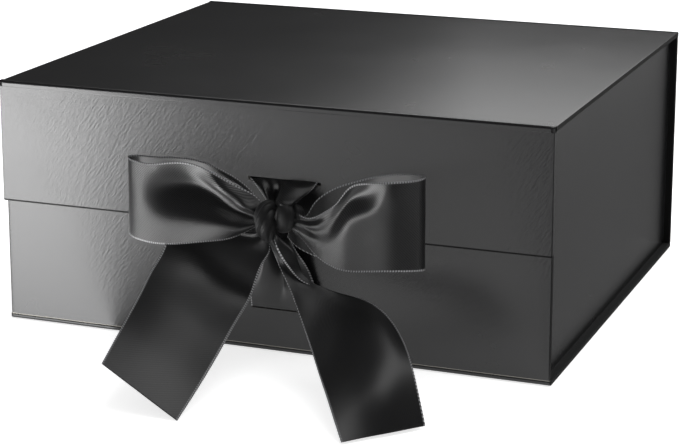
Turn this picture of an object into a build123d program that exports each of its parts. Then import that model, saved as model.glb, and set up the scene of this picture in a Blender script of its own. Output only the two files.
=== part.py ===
"""Rigid paper gift box with a hinged lid, a magnetic front flap and a tied satin ribbon.

Every panel is a grey board with an outer wrap paper turned in round its edges and a liner.
The base, the spine and the four walls stand still. The lid turns on a paper hinge at the
top of the spine, the flap turns on another at the front of the lid, and the bow rides on
the flap. The lower ribbon comes out of the front wall and folds forward when it is untied.

Frame: millimetres, +Z up, origin under the middle of the base, front facing -Y.
"""

import os

from build123d import *

# ---------------------------------------------------------------- driving dimensions
BOX_WIDTH = 260.0
BOX_DEPTH = 230.0
BOX_HEIGHT = 113.0
BOARD = 2.0
PAPER = 0.2
TURN_IN = 12.0
EDGE_RADIUS = 0.5
FOLD_RADIUS = 1.0
SLIP_GAP = 0.1
SIDE_WALL_INSET = 3.5
FRONT_WALL_INSET = 0.6
FLAP_DROP = 56.0
TAPE_LEG = 10.0
TAPE_END_GAP = 6.0

MAGNET_DIAMETER = 10.0
MAGNET_THICKNESS = 1.5
KEEPER_THICKNESS = 1.0
MAGNET_X = 75.0
MAGNET_Z = 86.0

RIBBON_WIDTH = 40.0
RIBBON_THICKNESS = 0.4
SLOT_WIDTH = 34.0
SLOT_HEIGHT = 1.6
SLOT_X = 9.5
UPPER_SLOT_Z = 79.0
LOWER_SLOT_Z = 20.0
ANCHOR_LENGTH = 20.0
SOFT_THICKNESS = 1.0
BUNCH_THICKNESS = 3.0

# ---------------------------------------------------------------- derived planes
PANEL = BOARD + 2 * PAPER
CORNER = PANEL + SLIP_GAP
HALF_W = BOX_WIDTH / 2
HALF_D = BOX_DEPTH / 2
FRONT_Y = -HALF_D
FLAP_INNER_Y = FRONT_Y + PANEL
WALL_OUTER_Y = FRONT_Y + CORNER
WALL_INNER_Y = WALL_OUTER_Y + PANEL
SPINE_INNER_Y = HALF_D - PANEL
LID_UNDER_Z = BOX_HEIGHT - PANEL
WALL_TOP_Z = BOX_HEIGHT - CORNER
FLAP_BOTTOM_Z = BOX_HEIGHT - FLAP_DROP
FRONT_HALF_W = HALF_W - FRONT_WALL_INSET
SIDE_OUTER_X = HALF_W - SIDE_WALL_INSET
SIDE_INNER_X = SIDE_OUTER_X - PANEL
LINER_HALF_W = HALF_W - TURN_IN
LID_HALF_D = HALF_D - CORNER

os.makedirs("parts", exist_ok=True)


def block(low, high, mode=Mode.ADD):
    """A box between two opposite corners, in the part that is being built."""
    size = [b - a for a, b in zip(low, high)]
    middle = [(a + b) / 2 for a, b in zip(low, high)]
    with Locations(tuple(middle)):
        Box(*size, mode=mode)


def slot_block(y_low, y_high, z, mode):
    """The ribbon slot's opening between two depths, in the part that is being built."""
    block((SLOT_X - SLOT_WIDTH / 2, y_low, z - SLOT_HEIGHT / 2),
          (SLOT_X + SLOT_WIDTH / 2, y_high, z + SLOT_HEIGHT / 2), mode)


def ribbon_strip(stations):
    """A thin lofted strip through stations, each (left edge, right edge, thickness)."""
    middles = [(Vector(*left) + Vector(*right)) / 2 for left, right, _ in stations]
    sections = []
    for i, (left, right, thickness) in enumerate(stations):
        ahead = middles[min(i + 1, len(middles) - 1)] - middles[max(i - 1, 0)]
        across = Vector(*right) - Vector(*left)
        along = ahead - across * (ahead.dot(across) / across.dot(across))
        with BuildSketch(Plane(origin=middles[i], x_dir=across, z_dir=along)) as section:
            Rectangle(across.length, thickness)
        sections.append(section.sketch)
    loft(sections=sections, ruled=True)


def save(part, name):
    """Label the finished piece and write its STEP file."""
    part.label = name
    export_step(part, f"parts/{name}.step")


# ================================================================ base
with BuildPart() as base_board:
    block((-HALF_W + PAPER, WALL_INNER_Y - SLIP_GAP, PAPER),
          (HALF_W - PAPER, SPINE_INNER_Y + SLIP_GAP, PANEL - PAPER))
save(base_board.part, "base_board")

# The wrap runs under the base, folds up at the front and the back, and is turned in
# over the two ends.
with BuildPart() as base_wrap:
    block((-HALF_W, WALL_OUTER_Y, 0), (HALF_W, HALF_D, PANEL))
    fillet(base_wrap.edges().filter_by(Axis.Y), radius=EDGE_RADIUS)
    fillet(base_wrap.edges().filter_by(Axis.X).group_by(Axis.Z)[0], radius=FOLD_RADIUS)
    with BuildSketch(Plane.YZ) as fold_profile:
        with Locations(((WALL_OUTER_Y + HALF_D) / 2, PAPER)):
            Rectangle(HALF_D - WALL_OUTER_Y - 2 * PAPER, PANEL, align=(Align.CENTER, Align.MIN))
        fillet(fold_profile.vertices().group_by(Axis.Y)[0], radius=FOLD_RADIUS - PAPER)
    extrude(amount=HALF_W - PAPER, both=True, mode=Mode.SUBTRACT)
    for side in (-1, 1):
        ends = sorted((side * LINER_HALF_W, side * (HALF_W - PAPER)))
        block((ends[0], WALL_INNER_Y - PAPER, PANEL - PAPER),
              (ends[1], SPINE_INNER_Y + PAPER, PANEL))
save(base_wrap.part, "base_wrap")

with BuildPart() as base_liner:
    block((-LINER_HALF_W, WALL_INNER_Y - PAPER, PANEL - PAPER),
          (LINER_HALF_W, SPINE_INNER_Y + PAPER, PANEL))
save(base_liner.part, "base_liner")

# ================================================================ front wall
with BuildPart() as front_wall_board:
    block((-FRONT_HALF_W + PAPER, WALL_OUTER_Y + PAPER, FOLD_RADIUS),
          (FRONT_HALF_W - PAPER, WALL_INNER_Y - PAPER, WALL_TOP_Z - PAPER))
    slot_block(WALL_OUTER_Y, WALL_INNER_Y, LOWER_SLOT_Z, Mode.SUBTRACT)
    block((SLOT_X - RIBBON_WIDTH / 2, WALL_INNER_Y - PAPER - RIBBON_THICKNESS, LOWER_SLOT_Z),
          (SLOT_X + RIBBON_WIDTH / 2, WALL_INNER_Y - PAPER, LOWER_SLOT_Z + ANCHOR_LENGTH),
          Mode.SUBTRACT)
    with BuildSketch(Plane.XZ.offset(-WALL_OUTER_Y - PAPER)):
        with Locations((-MAGNET_X, MAGNET_Z), (MAGNET_X, MAGNET_Z)):
            Circle(MAGNET_DIAMETER / 2)
    extrude(amount=-KEEPER_THICKNESS, mode=Mode.SUBTRACT)
save(front_wall_board.part, "front_wall_board")

with BuildPart() as front_wall_wrap:
    block((-FRONT_HALF_W, WALL_OUTER_Y, PANEL), (FRONT_HALF_W, WALL_INNER_Y, WALL_TOP_Z))
    fillet(front_wall_wrap.edges().filter_by(Axis.Z)
           + front_wall_wrap.edges().group_by(Axis.Z)[-1], radius=EDGE_RADIUS)
    block((-FRONT_HALF_W + PAPER, WALL_OUTER_Y + PAPER, PANEL),
          (FRONT_HALF_W - PAPER, WALL_INNER_Y - PAPER, WALL_TOP_Z - PAPER), Mode.SUBTRACT)
    block((-LINER_HALF_W, WALL_INNER_Y - PAPER, PANEL),
          (LINER_HALF_W, WALL_INNER_Y, WALL_TOP_Z - TURN_IN), Mode.SUBTRACT)
    slot_block(WALL_OUTER_Y, WALL_OUTER_Y + PAPER, LOWER_SLOT_Z, Mode.SUBTRACT)
save(front_wall_wrap.part, "front_wall_wrap")

with BuildPart() as front_wall_liner:
    block((-LINER_HALF_W, WALL_INNER_Y - PAPER, PANEL),
          (LINER_HALF_W, WALL_INNER_Y, WALL_TOP_Z - TURN_IN))
save(front_wall_liner.part, "front_wall_liner")

# Steel keepers let into the board under the wrap, facing the flap's magnets.
with BuildPart() as keepers:
    with BuildSketch(Plane.XZ.offset(-WALL_OUTER_Y - PAPER)):
        with Locations((-MAGNET_X, MAGNET_Z), (MAGNET_X, MAGNET_Z)):
            Circle(MAGNET_DIAMETER / 2)
    extrude(amount=-KEEPER_THICKNESS)
save(keepers.part, "keepers")

# ================================================================ spine
with BuildPart() as spine_board:
    block((-HALF_W + PAPER, SPINE_INNER_Y + PAPER, FOLD_RADIUS),
          (HALF_W - PAPER, HALF_D - PAPER, WALL_TOP_Z))
save(spine_board.part, "spine_board")

with BuildPart() as spine_wrap:
    block((-HALF_W, SPINE_INNER_Y, PANEL), (HALF_W, HALF_D, WALL_TOP_Z))
    fillet(spine_wrap.edges().filter_by(Axis.Z), radius=EDGE_RADIUS)
    block((-HALF_W + PAPER, SPINE_INNER_Y + PAPER, PANEL),
          (HALF_W - PAPER, HALF_D - PAPER, WALL_TOP_Z), Mode.SUBTRACT)
    block((-LINER_HALF_W, SPINE_INNER_Y, PANEL),
          (LINER_HALF_W, SPINE_INNER_Y + PAPER, WALL_TOP_Z), Mode.SUBTRACT)
save(spine_wrap.part, "spine_wrap")

with BuildPart() as spine_liner:
    block((-LINER_HALF_W, SPINE_INNER_Y, PANEL),
          (LINER_HALF_W, SPINE_INNER_Y + PAPER, WALL_TOP_Z))
save(spine_liner.part, "spine_liner")

# ================================================================ side walls
# Each side wall is a board wrapped right round, standing on the base between the front
# wall and the spine, set in from the ends of the other panels.
for side, name in ((-1, "left"), (1, "right")):
    x_low, x_high = sorted((side * SIDE_INNER_X, side * SIDE_OUTER_X))
    with BuildPart() as side_board:
        block((x_low + PAPER, WALL_INNER_Y + PAPER, PANEL + PAPER),
              (x_high - PAPER, SPINE_INNER_Y - PAPER, WALL_TOP_Z - PAPER))
    save(side_board.part, f"{name}_wall_board")
    with BuildPart() as side_wrap:
        block((x_low, WALL_INNER_Y, PANEL), (x_high, SPINE_INNER_Y, WALL_TOP_Z))
        fillet(side_wrap.edges().filter_by(Axis.Y).group_by(Axis.Z)[-1], radius=EDGE_RADIUS)
        block((x_low + PAPER, WALL_INNER_Y + PAPER, PANEL + PAPER),
              (x_high - PAPER, SPINE_INNER_Y - PAPER, WALL_TOP_Z - PAPER), Mode.SUBTRACT)
    save(side_wrap.part, f"{name}_wall_wrap")

# Glued paper tapes in the four upright corners hold the side walls to their neighbours.
with BuildPart() as corner_tapes:
    tape_low = PANEL + TAPE_END_GAP
    tape_high = WALL_TOP_Z - TURN_IN
    for side in (-1, 1):
        for end, wall_y in ((1, WALL_INNER_Y), (-1, SPINE_INNER_Y)):
            long_x = sorted((side * SIDE_INNER_X, side * (SIDE_INNER_X - TAPE_LEG)))
            thin_y = sorted((wall_y, wall_y + end * PAPER))
            thin_x = sorted((side * SIDE_INNER_X, side * (SIDE_INNER_X - PAPER)))
            long_y = sorted((wall_y, wall_y + end * TAPE_LEG))
            block((long_x[0], thin_y[0], tape_low), (long_x[1], thin_y[1], tape_high))
            block((thin_x[0], long_y[0], tape_low), (thin_x[1], long_y[1], tape_high))
save(corner_tapes.part, "corner_tapes")

# ================================================================ lid
with BuildPart() as lid_board:
    block((-HALF_W + PAPER, -LID_HALF_D, LID_UNDER_Z + PAPER),
          (HALF_W - PAPER, LID_HALF_D, BOX_HEIGHT - PAPER))
save(lid_board.part, "lid_board")

with BuildPart() as lid_wrap:
    block((-HALF_W, -LID_HALF_D, LID_UNDER_Z), (HALF_W, LID_HALF_D, BOX_HEIGHT))
    fillet(lid_wrap.edges().filter_by(Axis.Y), radius=EDGE_RADIUS)
    block((-HALF_W + PAPER, -LID_HALF_D, LID_UNDER_Z + PAPER),
          (HALF_W - PAPER, LID_HALF_D, BOX_HEIGHT - PAPER), Mode.SUBTRACT)
    block((-LINER_HALF_W, -LID_HALF_D, LID_UNDER_Z),
          (LINER_HALF_W, LID_HALF_D, LID_UNDER_Z + PAPER), Mode.SUBTRACT)
save(lid_wrap.part, "lid_wrap")

with BuildPart() as lid_liner:
    block((-LINER_HALF_W, -LID_HALF_D, LID_UNDER_Z),
          (LINER_HALF_W, LID_HALF_D, LID_UNDER_Z + PAPER))
save(lid_liner.part, "lid_liner")

# ================================================================ hinge papers
# The wrap bends round the open corner between two boards. Each piece is a strip with a
# folded section, drawn for the front edge and mirrored for the back one.
for end, name in ((-1, "flap_hinge_paper"), (1, "lid_hinge_paper")):
    with BuildPart() as hinge_paper:
        with BuildSketch(Plane.YZ) as hinge_section:
            with BuildLine():
                Polyline((end * HALF_D, WALL_TOP_Z + SLIP_GAP / 2), (end * HALF_D, BOX_HEIGHT),
                         (end * LID_HALF_D, BOX_HEIGHT),
                         (end * LID_HALF_D, BOX_HEIGHT - PAPER),
                         (end * (HALF_D - PAPER), BOX_HEIGHT - PAPER),
                         (end * (HALF_D - PAPER), WALL_TOP_Z + SLIP_GAP / 2), close=True)
            make_face()
            outer_corner = (end * HALF_D, BOX_HEIGHT, 0)
            fillet(hinge_section.vertices().sort_by_distance(outer_corner)[0], FOLD_RADIUS)
            inner_corner = (end * (HALF_D - PAPER), BOX_HEIGHT - PAPER, 0)
            fillet(hinge_section.vertices().sort_by_distance(inner_corner)[0],
                   FOLD_RADIUS - PAPER)
        extrude(amount=HALF_W, both=True)
    save(hinge_paper.part, name)

# ================================================================ flap
with BuildPart() as flap_board:
    block((-HALF_W + PAPER, FRONT_Y + PAPER, FLAP_BOTTOM_Z + PAPER),
          (HALF_W - PAPER, FLAP_INNER_Y - PAPER, WALL_TOP_Z))
    slot_block(FRONT_Y, FLAP_INNER_Y, UPPER_SLOT_Z, Mode.SUBTRACT)
    block((SLOT_X - RIBBON_WIDTH / 2, FLAP_INNER_Y - PAPER - RIBBON_THICKNESS, UPPER_SLOT_Z),
          (SLOT_X + RIBBON_WIDTH / 2, FLAP_INNER_Y - PAPER, UPPER_SLOT_Z + ANCHOR_LENGTH),
          Mode.SUBTRACT)
    with BuildSketch(Plane.XZ.offset(-FLAP_INNER_Y + PAPER)):
        with Locations((-MAGNET_X, MAGNET_Z), (MAGNET_X, MAGNET_Z)):
            Circle(MAGNET_DIAMETER / 2)
    extrude(amount=MAGNET_THICKNESS, mode=Mode.SUBTRACT)
save(flap_board.part, "flap_board")

with BuildPart() as flap_wrap:
    block((-HALF_W, FRONT_Y, FLAP_BOTTOM_Z), (HALF_W, FLAP_INNER_Y, WALL_TOP_Z))
    fillet(flap_wrap.edges().filter_by(Axis.Z)
           + flap_wrap.edges().group_by(Axis.Z)[0], radius=EDGE_RADIUS)
    block((-HALF_W + PAPER, FRONT_Y + PAPER, FLAP_BOTTOM_Z + PAPER),
          (HALF_W - PAPER, FLAP_INNER_Y - PAPER, WALL_TOP_Z), Mode.SUBTRACT)
    block((-LINER_HALF_W, FLAP_INNER_Y - PAPER, FLAP_BOTTOM_Z + TURN_IN),
          (LINER_HALF_W, FLAP_INNER_Y, WALL_TOP_Z), Mode.SUBTRACT)
    slot_block(FRONT_Y, FRONT_Y + PAPER, UPPER_SLOT_Z, Mode.SUBTRACT)
save(flap_wrap.part, "flap_wrap")

with BuildPart() as flap_liner:
    block((-LINER_HALF_W, FLAP_INNER_Y - PAPER, FLAP_BOTTOM_Z + TURN_IN),
          (LINER_HALF_W, FLAP_INNER_Y, WALL_TOP_Z))
save(flap_liner.part, "flap_liner")

with BuildPart() as magnets:
    with BuildSketch(Plane.XZ.offset(-FLAP_INNER_Y + PAPER)):
        with Locations((-MAGNET_X, MAGNET_Z), (MAGNET_X, MAGNET_Z)):
            Circle(MAGNET_DIAMETER / 2)
    extrude(amount=MAGNET_THICKNESS)
save(magnets.part, "magnets")

# ================================================================ ribbon
# The upper ribbon is glued behind the flap's board, comes out of the slot and runs down
# into the knot. The lower ribbon does the same from the front wall.
KNOT_CENTRE = (10.5, -128.0, 64.0)
KNOT_HALF_LENGTH = 9.5
KNOT_RADIUS = 7.0


def anchor(slot_z, outer_y, glued_y):
    """The glued end of a ribbon and the short run through its slot."""
    block((SLOT_X - RIBBON_WIDTH / 2, glued_y - RIBBON_THICKNESS, slot_z),
          (SLOT_X + RIBBON_WIDTH / 2, glued_y, slot_z + ANCHOR_LENGTH))
    block((SLOT_X - SLOT_WIDTH / 2, outer_y, slot_z - RIBBON_THICKNESS / 2),
          (SLOT_X + SLOT_WIDTH / 2, glued_y, slot_z + RIBBON_THICKNESS / 2))


with BuildPart() as upper_strap:
    anchor(UPPER_SLOT_Z, FRONT_Y, FLAP_INNER_Y - PAPER)
    ribbon_strip([
        ((SLOT_X - SLOT_WIDTH / 2, FRONT_Y, UPPER_SLOT_Z),
         (SLOT_X + SLOT_WIDTH / 2, FRONT_Y, UPPER_SLOT_Z), RIBBON_THICKNESS),
        ((3.0, -121.0, 72.0), (18.0, -121.0, 72.0), SOFT_THICKNESS),
        ((5.0, -124.5, 69.0), (16.0, -124.5, 69.0), BUNCH_THICKNESS)])
save(upper_strap.part, "upper_strap")

with BuildPart() as lower_anchor:
    anchor(LOWER_SLOT_Z, WALL_OUTER_Y, WALL_INNER_Y - PAPER)
save(lower_anchor.part, "lower_anchor")

with BuildPart() as lower_strap:
    ribbon_strip([
        ((SLOT_X - SLOT_WIDTH / 2, WALL_OUTER_Y - 0.3, LOWER_SLOT_Z + 0.15),
         (SLOT_X + SLOT_WIDTH / 2, WALL_OUTER_Y - 0.3, LOWER_SLOT_Z + 0.15), RIBBON_THICKNESS),
        ((SLOT_X - 15, -117.5, 33.0), (SLOT_X + 15, -117.5, 33.0), SOFT_THICKNESS),
        ((4.0, -121.5, 50.0), (17.0, -121.5, 50.0), SOFT_THICKNESS)])
save(lower_strap.part, "lower_strap")

with BuildPart() as knot:
    with BuildSketch(Plane.XY.offset(KNOT_CENTRE[2])):
        with Locations((KNOT_CENTRE[0], KNOT_CENTRE[1])):
            Ellipse(KNOT_HALF_LENGTH, KNOT_RADIUS)
            with Locations((0, -KNOT_RADIUS)):
                Rectangle(4 * KNOT_HALF_LENGTH, 2 * KNOT_RADIUS, mode=Mode.SUBTRACT)
    revolve(axis=Axis(KNOT_CENTRE, (1, 0, 0)), revolution_arc=360)
save(knot.part, "knot")


def loop_band(plan_line, side_outline):
    """A hollow band: the ring inside a closed plan line, cut to an outline seen from -Y."""
    with BuildSketch(Plane.XY) as ring:
        make_face(plan_line.edges())
        offset(amount=-SOFT_THICKNESS, kind=Kind.INTERSECTION, mode=Mode.SUBTRACT)
    extrude(ring.sketch, amount=BOX_HEIGHT)
    with BuildSketch(Plane.XZ) as outline:
        Polygon(*side_outline, align=None)
    extrude(outline.sketch, amount=BOX_DEPTH, mode=Mode.INTERSECT)


with BuildLine() as left_plan:
    Polyline((2.0, -124.5), (2.0, -131.5), (-51.7, -133.5))
    RadiusArc((-51.7, -133.5), (-51.7, -117.5), 8.0)
    Line((-51.7, -117.5), (2.0, -124.5))

with BuildPart() as left_loop:
    loop_band(left_plan, [(-61, 86), (-45, 87), (-30, 87.5), (-14, 84), (-2, 78.5), (4, 71),
                          (4, 61), (-6, 57), (-25, 52), (-45, 48), (-61, 47.5)])
save(left_loop.part, "left_loop")

with BuildLine() as right_plan:
    Line((19.0, -125.0), (19.0, -131.0))
    ThreePointArc((19.0, -131.0), (50.0, -140.0), (79.5, -130.0))
    ThreePointArc((79.5, -130.0), (50.0, -119.5), (19.0, -125.0))

with BuildPart() as right_loop:
    loop_band(right_plan, [(17, 69), (30, 73), (36, 81), (43, 87), (61, 90), (80, 91),
                           (80, 51), (62, 50), (49, 49.5), (35, 54), (30, 57), (17, 60)])
save(right_loop.part, "right_loop")

with BuildPart() as left_tail:
    ribbon_strip([
        ((3.5, -128.0, 59.0), (10.5, -128.0, 56.5), BUNCH_THICKNESS),
        ((-14.0, -128.0, 52.0), (8.5, -130.5, 45.0), SOFT_THICKNESS),
        ((-38.0, -136.0, 47.0), (0.0, -134.0, 31.5), SOFT_THICKNESS),
        ((-39.0, -163.0, 33.0), (-2.0, -163.0, 17.0), SOFT_THICKNESS),
        ((-35.5, -205.0, 19.0), (0.0, -206.0, 1.2), SOFT_THICKNESS)])
save(left_tail.part, "left_tail")

with BuildPart() as right_tail:
    ribbon_strip([
        ((12.0, -131.0, 57.0), (18.5, -130.0, 58.5), BUNCH_THICKNESS),
        ((13.0, -132.5, 48.0), (24.0, -131.0, 43.5), SOFT_THICKNESS),
        ((30.5, -149.0, 30.5), (56.0, -137.0, 36.0), SOFT_THICKNESS),
        ((43.5, -167.0, 18.5), (78.0, -151.0, 23.5), SOFT_THICKNESS),
        ((71.5, -207.0, 1.0), (96.0, -177.0, 1.0), SOFT_THICKNESS)])
save(right_tail.part, "right_tail")
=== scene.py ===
# %% [markdown]
# # A black gift box with a satin bow
# The real object is a rigid paper box: grey board panels covered in black coated paper,
# with a lid and a front flap on paper hinges, closed by a ribbon tied in a bow.
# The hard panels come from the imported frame, so this lesson adds what a drawing of
# panels can't give: the finishes, the two bending hinge papers and the soft ribbon.

import math

import bpy
import numpy as np
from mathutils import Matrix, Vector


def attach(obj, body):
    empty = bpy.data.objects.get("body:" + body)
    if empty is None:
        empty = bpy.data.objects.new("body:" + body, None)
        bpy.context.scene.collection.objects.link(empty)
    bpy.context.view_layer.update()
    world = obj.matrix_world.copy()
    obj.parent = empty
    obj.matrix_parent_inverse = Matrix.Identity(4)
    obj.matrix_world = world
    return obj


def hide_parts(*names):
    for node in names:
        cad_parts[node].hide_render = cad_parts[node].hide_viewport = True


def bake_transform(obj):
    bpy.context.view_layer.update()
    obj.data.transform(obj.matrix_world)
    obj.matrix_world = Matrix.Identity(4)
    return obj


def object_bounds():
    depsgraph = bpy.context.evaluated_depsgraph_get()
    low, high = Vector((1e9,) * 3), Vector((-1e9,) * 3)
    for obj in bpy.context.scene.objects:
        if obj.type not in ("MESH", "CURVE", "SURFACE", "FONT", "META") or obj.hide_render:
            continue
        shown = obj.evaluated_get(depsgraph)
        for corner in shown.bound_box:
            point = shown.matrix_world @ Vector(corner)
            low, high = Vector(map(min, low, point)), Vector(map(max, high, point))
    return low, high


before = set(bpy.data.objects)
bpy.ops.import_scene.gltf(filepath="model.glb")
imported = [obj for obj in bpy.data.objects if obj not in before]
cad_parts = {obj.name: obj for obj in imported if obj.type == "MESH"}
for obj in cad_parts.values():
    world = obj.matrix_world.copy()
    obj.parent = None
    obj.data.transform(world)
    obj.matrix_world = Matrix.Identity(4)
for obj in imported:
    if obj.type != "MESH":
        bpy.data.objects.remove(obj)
cad_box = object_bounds()
MM = 0.001
print("panels and parts:", len(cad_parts))

# %% [markdown]
# ## The box's own sizes
# Half the width, half the depth and the height are read from the far top corner of the
# frame's box, so nothing has to be typed twice. The panels stop 2.5 mm short of each
# other at a hinge, which leaves an open corner where only paper joins them.

# %% Driving sizes
HALF_WIDTH, HALF_DEPTH, HEIGHT = (round(side, 4) for side in cad_box[1])
CORNER, PAPER = 0.0025, 0.0002
WALL_FACE = HALF_DEPTH - CORNER
FLAP_EDGE = 0.057
print("half width, half depth, height:", HALF_WIDTH, HALF_DEPTH, HEIGHT)

# %% [markdown]
# ## The camera
# A fairly long lens looks at the box from a little above and from the right of the
# front. Its picture is shifted rather than the camera tilted further, so that upright
# edges stay nearly upright, which is how boxes are usually shown. It comes first so
# that every piece that follows can be judged from it.

# %% Camera
CAMERA_AT = (0.35768, -0.94448, 0.31112)
CAMERA_TURN = 21.25
CAMERA_TILT = 13.44


def look(turn, tilt):
    """Euler angles of a camera that looks turn degrees left of +Y, tilt degrees down."""
    return (math.radians(90 - tilt), 0.0, math.radians(turn))


camera_data = bpy.data.cameras.new("camera")
camera_data.sensor_width = 36.0
camera_data.lens = 113.7
camera_data.shift_y = -0.12
camera_data.clip_start = 0.05
camera = bpy.data.objects.new("camera", camera_data)
camera.location = CAMERA_AT
camera.rotation_euler = look(CAMERA_TURN, CAMERA_TILT)
bpy.context.collection.objects.link(camera)
bpy.context.scene.camera = camera
print("lens", camera_data.lens)

# %% [markdown]
# ## Small helpers for finishes
# Colours are written as the sRGB hex values of a colour card, and one function makes
# them linear. Another adds a node with its settings and links in one line, which keeps
# each finish readable as a list of steps. A third starts a finish with its shader.


# %% Colour and node helpers
MATHS = "ShaderNodeMath"


def linear(code):
    """sRGB hex to linear RGBA: c/12.92 below 0.04045, else ((c + 0.055)/1.055)^2.4."""
    c = np.array([int(code[i:i + 2], 16) for i in (1, 3, 5)]) / 255
    c = np.where(c <= 0.04045, c / 12.92, ((c + 0.055) / 1.055) ** 2.4)
    return (*c.tolist(), 1.0)


def add(tree, kind, links=(), **settings):
    """A new node: settings are its properties or its inputs' values, and each link is an
    input with its source, which may also be a plain number."""
    node = tree.nodes.new(kind)
    for key, value in settings.items():
        if hasattr(node, key):
            setattr(node, key, value)
        else:
            node.inputs[key.replace("_", " ")].default_value = value
    for socket, source in links:
        if isinstance(source, (int, float)):
            node.inputs[socket].default_value = source
        else:
            tree.links.new(source, node.inputs[socket])
    return node


def start_finish(name, kind="ShaderNodeBsdfPrincipled"):
    """A new material: its node tree, emptied, with one shader and the output it feeds."""
    made = bpy.data.materials.new(name)
    made.use_nodes = True
    tree = made.node_tree
    tree.nodes.clear()
    shader = add(tree, kind)
    add(tree, "ShaderNodeOutputMaterial", [("Surface", shader.outputs[0])])
    return made, tree, shader


# %% [markdown]
# ## Black coated paper
# The wrap is art paper printed black and coated with a satin film. The film gives a smooth,
# slightly blurred reflection. Under it the paper's tooth and the faint slanting ripples of glue
# and rolling break the highlight up, so the finish is built from a near-black base, a roughness
# that wanders, and two small bumps. Where the paper is turned over a board's end beyond the side
# walls, and along the flap's lower edge, the film is made dull and its colour near black: painted
# shade for the shadow under the lid's overhang, on the ledges and under the flap's edge.


# %% Where the coating is dull and shade is painted
SIDE_PLANE = HALF_WIDTH - 0.0034
SEAM_LOW, SEAM_HIGH = FLAP_EDGE - 0.0008, FLAP_EDGE + 0.0009
BESIDE_FACE = 0.0003


def dull_painted_shade_places(tree, place):
    """1 at the turned ends beyond the side walls, but not on the faces seen from outside, and on
    a line along the flap's lower edge; 0 elsewhere. There the film is made dull and the colour
    near black, which is painted shade.

    Each of the two is a product of tests, one for each limit on x, y or z.
    """
    x, y, z = add(tree, "ShaderNodeSeparateXYZ", [(0, place)]).outputs
    off_middle = add(tree, MATHS, [(0, x)], operation="ABSOLUTE").outputs[0]
    ends = ((off_middle, "GREATER_THAN", SIDE_PLANE), (z, "LESS_THAN", HEIGHT - PAPER),
            (y, "LESS_THAN", HALF_DEPTH - PAPER), (y, "GREATER_THAN", BESIDE_FACE - WALL_FACE))
    seam = ((z, "LESS_THAN", SEAM_HIGH), (z, "GREATER_THAN", SEAM_LOW),
            (y, "LESS_THAN", -WALL_FACE - PAPER / 4))
    dull_shade = 0.0
    for limits in (ends, seam):
        inside = 1.0
        for source, test, limit in limits:
            passed = add(tree, MATHS, [(0, source), (1, limit)], operation=test).outputs[0]
            inside = add(tree, MATHS, [(0, inside), (1, passed)], operation="MULTIPLY").outputs[0]
        dull_shade = add(tree, MATHS, [(0, dull_shade), (1, inside)], operation="MAXIMUM").outputs[0]
    return dull_shade


# %% Wrap paper
TOOTH, TOOTH_DEPTH = 2 / 3 * MM, 0.00004
RIPPLE, RIPPLE_DEPTH = (0.0009, 0.0009, 0.0038), 0.00017
RIPPLE_LEAN = math.radians(40)
PATCH = 1 / 22
FADE_FROM, FADE_TO = HEIGHT - 0.007, HEIGHT - 0.001


def wrap_paper():
    """Near-black base under a satin film, bumped by the paper's tooth and by ripples 0.9 mm
    wide and 3.8 mm long that lean 40 degrees and fade to a tenth towards the lid.

    Real tooth is finer than 0.1 mm and is drawn 0.67 mm wide, so that it shows at all.
    The film's roughness and the base's tint wander together in patches of 45 mm.
    """
    made, tree, shader = start_finish("black_coated_paper")
    place = add(tree, "ShaderNodeTexCoord").outputs["Object"]
    tooth = add(tree, "ShaderNodeTexNoise", [("Vector", place)], Scale=1 / TOOTH, Detail=2.0)
    lean = add(tree, "ShaderNodeMapping", [("Vector", place)], vector_type="TEXTURE",
               Rotation=(0.0, RIPPLE_LEAN, 0.0), Scale=RIPPLE)
    ripple = add(tree, "ShaderNodeTexNoise", [("Vector", lean.outputs[0])],
                 Scale=1.0, Detail=3.0, Roughness=0.6)
    patch = add(tree, "ShaderNodeTexNoise", [("Vector", place)], Scale=1 / PATCH, Detail=3.0)
    height = add(tree, "ShaderNodeSeparateXYZ", [(0, place)]).outputs[2]
    fade = add(tree, "ShaderNodeMapRange", [("Value", height)], From_Min=FADE_FROM,
               From_Max=FADE_TO, To_Min=1.0, To_Max=0.1).outputs[0]
    waves = add(tree, MATHS, [(0, ripple.outputs[0]), (1, fade)], operation="MULTIPLY")
    low = add(tree, "ShaderNodeBump", [("Height", waves.outputs[0])],
              Strength=0.5, Distance=RIPPLE_DEPTH)
    fine = add(tree, "ShaderNodeBump", [("Height", tooth.outputs[0]),
                                        ("Normal", low.outputs[0])],
               Strength=0.06, Distance=TOOTH_DEPTH)
    tree.links.new(fine.outputs[0], shader.inputs["Normal"])
    # Painted shade: where this mask is 1 the film goes dull and the colour near black, for the
    # shadow under the flap's edge and on the turned ends.
    dull_shade = dull_painted_shade_places(tree, place)
    film = add(tree, "ShaderNodeMapRange", [("Value", patch.outputs[0])],
               To_Min=0.22, To_Max=0.30).outputs[0]
    dull_roughness = add(tree, MATHS, [(0, dull_shade), (1, 0.9)], operation="MULTIPLY").outputs[0]
    rough = add(tree, MATHS, [(0, film), (1, dull_roughness)], operation="MAXIMUM").outputs[0]
    tree.links.new(rough, shader.inputs["Roughness"])
    tint = add(tree, "ShaderNodeMix", [("Factor", patch.outputs[0])], data_type="RGBA")
    tint.inputs[6].default_value = linear("#141415")
    tint.inputs[7].default_value = linear("#181819")
    # The near-black #040404 mixed in here is painted shade.
    edge = add(tree, "ShaderNodeMix", [("Factor", dull_shade), (6, tint.outputs[2])],
               data_type="RGBA")
    edge.inputs[7].default_value = linear("#040404")
    tree.links.new(edge.outputs[2], shader.inputs["Base Color"])
    shader.inputs["IOR"].default_value = 1.5
    return made


WRAP = wrap_paper()
print("finish:", WRAP.name)

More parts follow.
